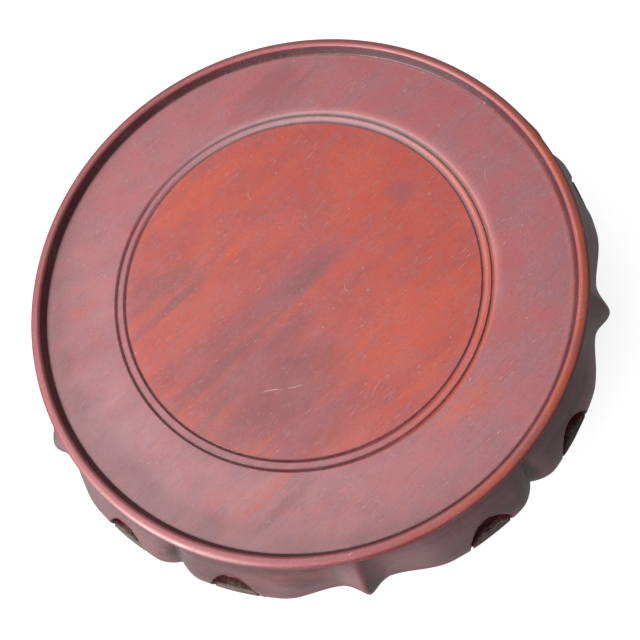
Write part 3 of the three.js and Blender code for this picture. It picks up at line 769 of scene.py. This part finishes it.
def boardProfile(sizes):
    soft = sizes.fillet
    crestR = rimR - sizes.rimCrest
    wallR = rimR - sizes.rimWidth
    beadZ = edgeZ + sizes.rimSquare
    arrisR, arrisZ = rimR - sizes.rimArris, standZ - sizes.arrisDrop
    points = [(r, underZ) for r in np.linspace(0, boardR - soft, 24)]
    points += arc((boardR - soft, underZ + soft), (soft, soft), -90, 0, 3)[1:]
    points += [(boardR, edgeZ - soft)] + arc((boardR + soft, edgeZ - soft), (soft, soft), 180, 90, 3)[1:]
    points += arc((rimR - soft, edgeZ + soft), (soft, soft), -90, 0, 4) + [(rimR, beadZ)]
    points += arc((crestR, beadZ), (sizes.rimCrest, standZ - beadZ), 0, 90, 14)[1:]
    points += arc((crestR, arrisZ), (crestR - arrisR, sizes.arrisDrop), 90, 180, 8)[1:]
    cove = sizes.wallFillet
    points += arc((wallR - cove, floorZ + cove), (cove, cove), 0, -90, 6)
    middle, half = sizes.grooveR, sizes.grooveSpacing
    points += [(r, floorZ) for r in np.linspace(wallR - 3, middle + half + 0.2, 12)]
    points += [(r, floorZ) for r in np.linspace(middle + half, middle - half, 81)]
    points += [(r, floorZ) for r in np.linspace(middle - half - 1, 0, 26)]
    return points


def finishTree(tree, geometry, wood, way):
    real = nodeOf(tree, "GeometryNodeRealizeInstances", {"Geometry": geometry})
    finish = nodeOf(tree, "GeometryNodeSetMaterial", {"Geometry": real[0], "Material": wood})
    plug(finish[0], way)


def makeTurningTree():
    tree, entry, leave = newGroup("turnedBoard", {
        "Geometry": "Geometry", "Steps": 64, "Floor": 0.08, "Groove Radius": 0.08, "Groove Spacing": 0.004,
        "Inner Flank": 0.001, "Outer Flank": 0.001, "Drift": 0.0, "Drift Angle": 0.0, "Groove Depth": 0.001,
        "Material": "Material",
    }, ["Geometry"], "GeometryNodeTree")
    size = nodeOf(tree, "GeometryNodeAttributeDomainSize", {"Geometry": entry["Geometry"]}, component="MESH")
    count = size["Point Count"]
    grid = nodeOf(tree, "GeometryNodeMeshGrid", {
        "Vertices X": plus(entry["Steps"], 1.0), "Vertices Y": count})
    index = newNode(tree, "GeometryNodeInputIndex").outputs[0]
    spoke = mathOf("FLOOR", over(plus(index, 0.5), count))
    angle = over(times(spoke, 2 * pi), entry["Steps"])
    sample = nodeOf(tree, "GeometryNodeSampleIndex", {
        "Geometry": entry["Geometry"], "Value": newNode(tree, "GeometryNodeInputPosition").outputs[0],
        "Index": mathOf("MODULO", index, count),
    }, data_type="FLOAT_VECTOR", domain="POINT")
    profile = partsOf(sample[0])
    radius, height = profile["X"], profile["Z"]
    half = over(entry["Groove Spacing"], 2.0)
    swing = mathOf("COSINE", minus(angle, entry["Drift Angle"]))
    outer = timesPlus(swing, entry["Drift"], entry["Outer Flank"])
    cuts = []
    for side in ("SUBTRACT", "ADD"):
        line = mathOf(side, entry["Groove Radius"], half)
        away = minus(radius, line)
        rise = over(away, outer)
        fall = over(times(away, -1.0), entry["Inner Flank"])
        cuts.append(minus(1.0, most(rise, fall), clamp=True))
    cut = most(cuts[0], cuts[1])
    onFloor = mathOf("COMPARE", height, entry["Floor"], 0.00001)
    depth = times(times(cut, entry["Groove Depth"]), onFloor)
    spot = nodeOf(tree, "ShaderNodeCombineXYZ", {
        "X": times(radius, mathOf("COSINE", angle)), "Y": times(radius, mathOf("SINE", angle)),
        "Z": minus(height, depth)})
    turned = nodeOf(tree, "GeometryNodeSetPosition", {
        "Geometry": grid["Mesh"], "Position": spot[0]})
    closed = nodeOf(tree, "GeometryNodeMergeByDistance", {
        "Geometry": turned[0], "Distance": 0.000005})
    finishTree(tree, closed[0], entry["Material"], leave["Geometry"])
    return tree


def grown(mesh, tree, values):  # runs a geometry tree on a mesh
    piece = standIn(mesh)
    grow = piece.modifiers.new("grow", "NODES")
    grow.node_group = tree
    for socket in tree.interface.items_tree:
        if socket.in_out == "INPUT" and socket.name in values:
            grow[socket.identifier] = values[socket.name]
    return finished(piece)


def makeTray(sizes, wood):
    points = boardProfile(sizes)
    profile = bpy.data.meshes.new("boardProfile")
    profile.from_pydata([(r * mm, 0, z * mm) for r, z in points],
                        [(i, i + 1) for i in range(len(points) - 1)], [])
    lengths = {"Floor": floorZ, "Groove Radius": sizes.grooveR, "Groove Spacing": sizes.grooveSpacing,
               "Inner Flank": sizes.grooveInner, "Outer Flank": sizes.grooveOuter,
               "Drift": sizes.grooveDrift, "Groove Depth": sizes.grooveDepth}
    values = {name: length * mm for name, length in lengths.items()}
    values.update({"Steps": sizes.steps, "Drift Angle": radians(sizes.driftAngle), "Material": wood})
    mesh = grown(profile, makeTurningTree(), values)
    faceOut(mesh)
    smooth(mesh)
    place(mesh, "turnedTray", ["tray_top"], "tray_wood", wood)


makeTray(board, makeTrayWood(trayLook))
print("tray turned")

# aprons between the legs
apron = Sizes(
    wall=9.7,  # from the cove back to the inner face
    ledgeReach=4.5, ledgeHeight=6.0, hemDrop=38.0, hemRise=3.0, spandrelDrop=5.0, eyeAngle=24.3,
    eyeDrop=23.0,
    eyeRadius=10.9,  # half the width of an eye
    eyeRises=((10.9, 10.9), (11.6, 12.2), (12.4, 11.2), (11.8, 12.8), (14.0, 12.4)), lipReach=1.9,
    lipDrop=2.6, lipStart=0.3,
    cutterSpare=3.0,  # how far the eye's cutter stands out of the lobe
    chipping=0.3,  # depth of the rough cut on the ledges
    eyeLength=8.0, eyeGroove=1.3,
    archPower=1.6,  # more than 1 draws the ends of the arch out to points
    shadeReach=0.4,  # painted shade on a ledge, out from under the arch
    eyeDepth=5.7, lobeBorder=3.6, columns=221, rows=46, voxel=0.48, softening=3, kept=0.4,
)
eyeZ = edgeZ - apron.eyeDrop
hemZ = edgeZ - apron.hemDrop
spandrelZ = hemZ - apron.spandrelDrop
eyeAngle = radians(apron.eyeAngle)
eyeFloor = lobeR - apron.eyeDepth
apronInner = coveR - apron.wall
ledgeInner = apronInner - apron.ledgeReach


def hemHeight(away):
    reach = apron.eyeRadius + apron.eyeLength + apron.lobeBorder
    fromEye = abs(away - eyeAngle) * lobeR
    hanging = eyeZ - sqrt(reach ** 2 - fromEye ** 2) if fromEye < reach else hemZ
    creaseHalf = (halfBay - eyeAngle) * lobeR - sqrt(reach ** 2 - (eyeZ - hemZ) ** 2)
    rise = max(0, 1 - (halfBay - away) * lobeR / creaseHalf) ** 2 * apron.hemRise
    beside = (away - coveAngle) / (radians(plan.lobeStart) - coveAngle)
    drop = max(0, 1 - max(0, beside)) ** 2 * apron.spandrelDrop
    return min(hanging, hemZ + rise - drop)


def apronLoops(sizes):
    loops = []
    for angle in np.linspace(coveAngle / 2, bay - coveAngle / 2, sizes.columns):
        hem = hemHeight(max(min(angle, bay - angle), coveAngle))
        heights = edgeZ - (edgeZ - hem) * np.linspace(0, 1, sizes.rows)
        section = [(float(surfaceRadius(planRadius(angle), z)), z) for z in heights]
        ledgeZ = underZ - sizes.ledgeHeight
        section += [(apronInner, hem), (apronInner, ledgeZ - sizes.ledgeReach), (ledgeInner, ledgeZ)]
        section += [(ledgeInner, underZ), (boardR + board.play, underZ), (boardR + board.play, edgeZ)]
        loops.append([(r * cos(angle), r * sin(angle), z) for r, z in section])
    return loops


def archHeight(aside, rise):  # of the arch over its chord
    share = unit(1 - (aside / apron.eyeRadius) ** 2)
    return rise * share ** (apron.archPower / 2)


def eyeLine(radius, length, rise, steps=26):
    lower = arc((0, eyeZ - length), (radius, radius), 180, 360, steps)
    upper = [(radius * cos(t), eyeZ + float(archHeight(apron.eyeRadius * cos(t), rise)))
             for t in np.linspace(0, pi, steps + 1 if rise else 2)]
    return upper + lower


def eyeCutter(sizes, angle, rise):  # an arch cut whose lower part keeps a flat-topped tongue
    work = bmesh.new()
    outer = eyeLine(sizes.eyeRadius, sizes.eyeLength, rise)
    inner = eyeLine(sizes.eyeRadius - sizes.eyeGroove, sizes.eyeLength, 0)
    for line in (outer, inner):
        verts = [work.verts.new((eyeFloor * mm, y * mm, z * mm)) for y, z in line]
        for i, vert in enumerate(verts):
            work.edges.new((vert, verts[(i + 1) % len(verts)]))
    bmesh.ops.triangle_fill(work, use_beauty=True, edges=work.edges[:])
    pushed = bmesh.ops.extrude_face_region(work, geom=work.faces[:])["geom"]
    moved = [item for item in pushed if isinstance(item, bmesh.types.BMVert)]
    bmesh.ops.translate(work, verts=moved, vec=((lobeR + sizes.cutterSpare - eyeFloor) * mm, 0, 0))
    bmesh.ops.recalc_face_normals(work, faces=work.faces)
    mesh = bpy.data.meshes.new("eyeCutter")
    work.to_mesh(mesh)
    work.free()
    mesh.transform(Matrix.Rotation(angle, 4, "Z"))
    return mesh


def lipCutter(sizes, angle):  # slopes the front of the tongue
    reach, top = sizes.lipReach, eyeZ + sizes.lipStart
    half = sizes.eyeRadius - sizes.eyeGroove / 2
    line = [(lobeR - reach, top), (lobeR + reach, top), (lobeR + reach, top - 2 * sizes.lipDrop)]
    mesh = skin("lipCutter", [[(x, y, z) for x, z in line] for y in (-half, half)])
    mesh.transform(Matrix.Rotation(angle, 4, "Z"))
    return mesh


def sidePlane(turn, sign):
    reach = plan.legHalf + plan.seam
    spin = Matrix.Rotation(turn, 3, "Z")
    return spin @ Vector((0, sign * reach * mm, 0)), spin @ Vector((0, -sign, 0))


def eyeDistance(aside, z, rise):  # from the outline of the nearer scroll eye, inside negative
    above = apron.eyeRadius * (np.clip(z - eyeZ, 0, None) / rise) ** (1 / apron.archPower)
    level = np.where(z > eyeZ, above, np.clip(eyeZ - apron.eyeLength - z, 0, None))
    return np.hypot(aside, level) - apron.eyeRadius


def markCarving(mesh, sizes, rises):
    spots, angle, radius, z = polar(mesh)
    depth = surfaceRadius(planRadius(angle), z) - radius
    first = angle < bay / 2
    aside = np.abs(angle - np.where(first, eyeAngle, bay - eyeAngle)) * lobeR
    rise = np.where(first, rises[0], rises[1])
    gap = eyeDistance(aside, z, rise)
    inTongue = (gap < -sizes.eyeGroove + 0.5) & (z < eyeZ + 0.6)
    ledge = inTongue & (z > eyeZ - sizes.lipDrop - 0.4) & (radius > eyeFloor + 0.3)
    pocket = (gap < 0.2) & (radius > eyeFloor - 0.6) & (depth > 0.5)
    onFace = unit(1.2 - depth) * ~ledge
    away = np.abs((angle + halfBay) % bay - halfBay)
    hem = np.array([hemHeight(max(a, coveAngle)) for a in away])
    low = np.exp(-np.clip(z - hem, 0, None) / 4.0)
    lip = unit((radius - lobeR + sizes.lipReach + 0.1) / 0.3)
    edge = np.where(ledge, lip, onFace * np.max((hill(gap, 0.8), low, bulgeRub(z)), 0))
    # painted shade, through the hollow mask: the crease, the neck under the rim, the eye pockets and the
    # ledge under each arch
    creaseShade = hill((halfBay - away) * lobeR, 3.0)
    neck = np.exp(-(edgeZ - z) / 3.5)
    pocketShade = unit((depth - 1.0) / 3.5) * (pocket & ~ledge)
    arch = eyeZ + archHeight(aside, rise)
    beyond = radius - surfaceRadius(planRadius(angle), arch) - sizes.shadeReach
    back = unit(1 - beyond / 0.9) * ledge
    addMasks(mesh, ledge, edge, np.max((onFace * creaseShade, 0.7 * onFace * neck, pocketShade, back), 0))
    chips = np.array([noise.noise(Vector(spot) * 0.9) for spot in spots])
    spots[:, 2] -= sizes.chipping * ledge * unit(0.5 + chips)
    mesh.vertices.foreach_set("co", (spots * mm).ravel())
    return spots, angle, radius


def makeAprons(sizes, wood):
    for number, rises in enumerate(sizes.eyeRises):
        cutters = [eyeCutter(sizes, angle, rise) for angle, rise in zip((eyeAngle, bay - eyeAngle), rises)]
        cutters += [lipCutter(sizes, angle) for angle in (eyeAngle, bay - eyeAngle)]
        mesh = carved(skin("apronBlank", apronLoops(sizes)), cutters, sizes)
        trimmed(mesh, [sidePlane(0, 1), sidePlane(bay, -1)])
        spots, angle, radius = markCarving(mesh, sizes, rises)
        addGrain(mesh, angle * lobeR, spots[:, 2], radius)
        placeCopy(mesh, "carvedApron", "apron", number, wood)


carvedWood = woodOf("carvedWood", carvedLook)
makeAprons(apron, carvedWood)
print("aprons carved")

# legs: a ridge, hollow flanks and an S-shaped shin down to the base ring
leg = Sizes(
    depth=14.2,  # from the cove back to the inner face
    leastDepth=11.0, corner=1.4,
    ankleInset=24.1,  # behind the ridge
    ankleHeight=24.0, ankleHalf=6.6, ankleDepth=9.0, footFlare=5.1, flareEase=1.6, footHalf=9.0,
    footDepth=13.0, bracketHalf=6.0, bracketReach=12.0, bracketHeight=20.0, tenonInset=2.0,
    tenonHalf=4.0, tenonHeight=4.2,
    spare=3.0,  # trimmed away again at the seam
    headRows=12, sideRows=40, voxel=0.5, softening=3, kept=0.4,
)
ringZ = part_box("base_ring_1")[1].z / mm
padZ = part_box("base_ring_1")[0].z / mm
legInner = coveR - leg.depth
ankleR = ridgeR - leg.ankleInset
footR = ankleR + leg.footFlare


def bezier(points, share):
    points = [np.array(point, float) for point in points]
    while len(points) > 1:
        points = [a + (b - a) * share for a, b in zip(points, points[1:])]
    return points[0]


def legLevels(sizes):
    levels = []

    def add(z, ridge, flank, half, depth, spare=0):
        levels.append(Sizes(z=z, ridge=ridge, flank=flank, half=half, depth=depth, spare=spare))

    head, side = np.linspace(edgeZ, underZ, sizes.headRows), np.linspace(underZ, spandrelZ, sizes.sideRows)
    for z in [*head, *side]:
        ridge = float(surfaceRadius(ridgeR, z))
        cove = float(surfaceRadius(coveR, z)) * cos(coveAngle)
        atHead = len(levels) < sizes.headRows
        inner = boardR + board.play if atHead else min(legInner, ridge - sizes.leastDepth)
        spare = sizes.spare * min(1, (z - spandrelZ) / 5)
        add(z, ridge, ridge - cove, plan.legHalf, ridge - inner, spare)
    start = levels[-1]
    drop = spandrelZ - sizes.ankleHeight
    slope = 2 * plan.lowerDraw * (bulgeZ - spandrelZ) / plan.lowerDrawHeight ** 2
    shin = [(start.ridge, spandrelZ), (start.ridge - slope * drop / 2, spandrelZ - drop / 2),
            (ankleR, sizes.ankleHeight + drop / 3), (ankleR, sizes.ankleHeight)]
    foot = [(ankleR, sizes.ankleHeight), (ankleR, (sizes.ankleHeight + ringZ) / 2), (footR, ringZ)]
    for share in np.linspace(0, 1, 31)[1:]:
        ridge, z = bezier(shin, share)
        ease = share * share * (3 - 2 * share)
        add(z, ridge, start.flank * (1 - ease / 2), start.half + (sizes.ankleHalf - start.half) * ease,
            start.depth + (sizes.ankleDepth - start.depth) * ease)
    for share in np.linspace(0, 1, 15)[1:]:
        ridge, z = bezier(foot, share)
        ease = share ** sizes.flareEase
        add(z, ridge, start.flank / 2, sizes.ankleHalf + (sizes.footHalf - sizes.ankleHalf) * ease,
            sizes.ankleDepth + (sizes.footDepth - sizes.ankleDepth) * ease)
    return levels


def legLoops(sizes):
    loops = []
    for level in legLevels(sizes):
        half = level.half + level.spare
        across = np.linspace(-half, half, 41)
        fall = level.flank * (1 - ridgeShare(unit(np.abs(across) / level.half)))
        inside, corner = level.ridge - level.depth, sizes.corner
        section = [(level.ridge - f, y) for f, y in zip(fall, across)]
        section += [(inside + corner, half), (inside, half - corner), (inside, corner - half),
                    (inside + corner, -half)]
        loops.append([(x, y, level.z) for x, y in section])
    return loops


def bracketLoops(sizes):
    inner, low = legInner - sizes.bracketReach, underZ - sizes.bracketHeight
    curve = [bezier([(inner, underZ - sizes.bracketHeight / 4),
                     (legInner - sizes.tenonInset, underZ - sizes.bracketHeight / 3),
                     (legInner, low)], share) for share in np.linspace(0, 1, 15)]
    line = [(legInner + 2, underZ), (inner, underZ), *curve, (legInner + 2, low)]
    return [[(x, y, z) for x, z in line] for y in (-sizes.bracketHalf, sizes.bracketHalf)]


def makeLegs(sizes, wood):
    inner = legInner - sizes.bracketReach + sizes.tenonInset
    tenon = blockLoops((inner, -sizes.tenonHalf, underZ - 2),
                       (legInner - sizes.tenonInset, sizes.tenonHalf, underZ + sizes.tenonHeight))
    shells = [skin("legShell", loops) for loops in (legLoops(sizes), bracketLoops(sizes), tenon)]
    mesh = carved(joined("legBlank", shells), [], sizes)
    reach = plan.legHalf * mm
    trimmed(mesh, [(Vector((0, reach, 0)), Vector((0, 1, 0))), (Vector((0, -reach, 0)), Vector((0, -1, 0)))])
    x, y, z = polar(mesh)[0].T
    tip = 0.6 * hill(y, 2.0) * (x > legInner + 4)
    edge = np.maximum(tip, bulgeRub(z))
    # painted shade, through the hollow mask: the ridge's nose at the bulge and the top under the board are
    # darkened
    nose = 0.6 * hill(z - bulgeZ, 7.0) * hill(y, 3.0)
    addMasks(mesh, 0.0, edge, np.maximum(nose, 0.8 * np.exp(-np.abs(edgeZ - z) / 4.0)))
    addGrain(mesh, z, y, x)
    for number in range(plan.legs):
        placeCopy(mesh.copy(), "carvedLeg", "leg", number, wood)


makeLegs(leg, carvedWood)
print("legs carved")

# base ring in five lengths, halved over each other under the legs
baseRing = Sizes(overhang=1.4, width=16.0, lap=5.0, gap=0.3, softening=0.35, steps=64)
ringMiddle = (ringZ + padZ) / 2
ringOuter = footR + baseRing.overhang
ringInner = ringOuter - baseRing.width


def bevelled(mesh, width, segments=2):
    piece = standIn(mesh)
    modify(piece, "BEVEL", width=width * mm, segments=segments, limit_method="ANGLE",
           angle_limit=radians(40))
    result = finished(piece)
    smooth(result)
    result.set_sharp_from_angle(angle=radians(35))
    return result


def ringLoops(sizes):
    nose = (ringZ - padZ) / 2
    section = arc((ringOuter - nose, ringMiddle), (nose, nose), -90, 90, 14)
    section += [(ringInner, ringZ), (ringInner, ringMiddle), (ringInner, padZ)]
    lap, slack = radians(sizes.lap), sizes.gap / ringInner
    stations = [(a, ringMiddle, ringZ) for a in np.linspace(slack - lap, lap, 8)]
    stations += [(a, padZ, ringZ) for a in np.linspace(lap, bay - lap, sizes.steps)]
    stations += [(a, padZ, ringMiddle) for a in np.linspace(bay - lap, bay + lap - slack, 8)]
    return [[(r * cos(a), r * sin(a), min(max(z, low), high)) for r, z in section]
            for a, low, high in stations]


def makeRing(sizes, wood):
    mesh = bevelled(skin("ringBlank", ringLoops(sizes)), sizes.softening)
    angle, radius, z = polar(mesh)[1:]
    addMasks(mesh, edge=hill(radius - ringOuter, 1.5))
    addGrain(mesh, angle * ringOuter, z, radius)
    for number in range(plan.legs):
        placeCopy(mesh.copy(), "baseRingLength", "base_ring", number, wood, False)


makeRing(baseRing, carvedWood)
print("base ring laid")


# feet and pins repeat round the axis, so one tree places both
def makeRoundTree():
    tree, entry, leave = newGroup("roundTheAxis", {
        "Geometry": "Geometry", "Count": 5, "First Angle": 0.0, "Material": "Material",
    }, ["Geometry"], "GeometryNodeTree")
    points = nodeOf(tree, "GeometryNodePoints", {"Count": entry["Count"]})
    index = newNode(tree, "GeometryNodeInputIndex").outputs[0]
    angle = timesPlus(index, over(2 * pi, entry["Count"]), entry["First Angle"])
    turn = nodeOf(tree, "ShaderNodeCombineXYZ", {"Z": angle})
    spread = nodeOf(tree, "GeometryNodeInstanceOnPoints", {
        "Points": points[0], "Instance": entry["Geometry"], "Rotation": turn[0]})
    finishTree(tree, spread[0], entry["Material"], leave["Geometry"])
    return tree


roundTree = makeRoundTree()


def roundAxis(mesh, name, nodes, slot, wood):
    values = {"Count": plan.legs, "First Angle": radians(plan.firstLeg), "Material": wood}
    place(grown(mesh, roundTree, values), name, nodes, slot, wood)


footPad = Sizes(inset=2.5, length=12.0, half=8.0, corner=2.5, softening=0.5)
padOuter = ringOuter - footPad.inset


def makePads(sizes, wood):
    inner, half, soft = padOuter - sizes.length, sizes.half, sizes.corner
    line = [(inner, -half)] + arc((padOuter - soft, soft - half), (soft, soft), -90, 0, 5)
    line += arc((padOuter - soft, half - soft), (soft, soft), 0, 90, 5) + [(inner, half)]
    mesh = bevelled(skin("padBlank", [[(x, y, z) for x, y in line] for z in (0, padZ)]), sizes.softening)
    spots = polar(mesh)[0]
    addMasks(mesh, edge=1 - spots[:, 2])
    addGrain(mesh, spots)
    nodes = [f"foot_pad_{number + 1}" for number in range(plan.legs)]
    roundAxis(mesh, "footPads", nodes, "carved_wood", wood)


makePads(footPad, carvedWood)

pin = Sizes(radius=1.5, inset=2.7, cover=2.8, drop=20.0, height=15.0, softening=0.08, sides=9)


def makePins(sizes, wood):
    start, end = legInner, coveR - sizes.cover
    middle = edgeZ - sizes.drop - sizes.height / 2
    shells = []
    for side in (-1, 1):
        loops = []
        for x, share in ((start, 0.86), (start + 0.4, 1.0), (end - 0.8, 0.94), (end, 0.7)):
            turns = np.linspace(0, 2 * pi, sizes.sides, endpoint=False) + side
            loops.append([(x, side * (plan.legHalf - sizes.inset) + sizes.radius * share * cos(t),
                           middle + sizes.radius * share * sin(t)) for t in turns])
        shells.append(skin("pinShell", loops))
    mesh = bevelled(joined("pinBlank", shells), sizes.softening, 1)
    addMasks(mesh)
    addGrain(mesh, polar(mesh)[0])
    nodes = [f"pin_{number + 1}_{hand}" for number in range(plan.legs) for hand in ("left", "right")]
    roundAxis(mesh, "bambooPins", nodes, "bamboo", wood)


makePins(pin, woodOf("bambooWood", bambooLook))
print("feet and pins placed")

# battens under the board, across its grain
batten = Sizes(offset=38.0, width=16.0, depth=8.0, corner=2.0, key=12.0, flare=1.0, keyHeight=3.0,
               legGap=6.4, softening=0.5, plankStep=300)


def makeBattens(sizes, wood):
    half, neck, low = sizes.width / 2, sizes.key / 2, underZ - sizes.depth
    keyZ, corner = underZ + sizes.keyHeight, sizes.corner
    line = [(corner - half, low), (half - corner, low), (half, low + corner), (half, underZ),
            (neck, underZ), (neck + sizes.flare, keyZ), (-neck - sizes.flare, keyZ),
            (-neck, underZ), (-half, underZ), (-half, low + corner)]
    farCorner = legInner - leg.bracketReach - sizes.legGap
    length = sqrt(farCorner ** 2 - (sizes.offset + half) ** 2)
    for number, side in enumerate((1, -1)):
        loops = [[(side * sizes.offset + x, y, z) for x, z in line] for y in (-length, length)]
        mesh = bevelled(skin("battenBlank", loops), sizes.softening)
        spots = polar(mesh)[0]
        addMasks(mesh)
        addGrain(mesh, spots[:, [1, 0, 2]] + sizes.plankStep * number)
        mesh.transform(Matrix.Rotation(radians(trayLook.grain), 4, "Z"))
        place(mesh, f"batten{number + 1}", [f"batten_{number + 1}"], "hidden_wood", wood)


makeBattens(batten, woodOf("planedWood", hiddenLook))
print("battens fitted")
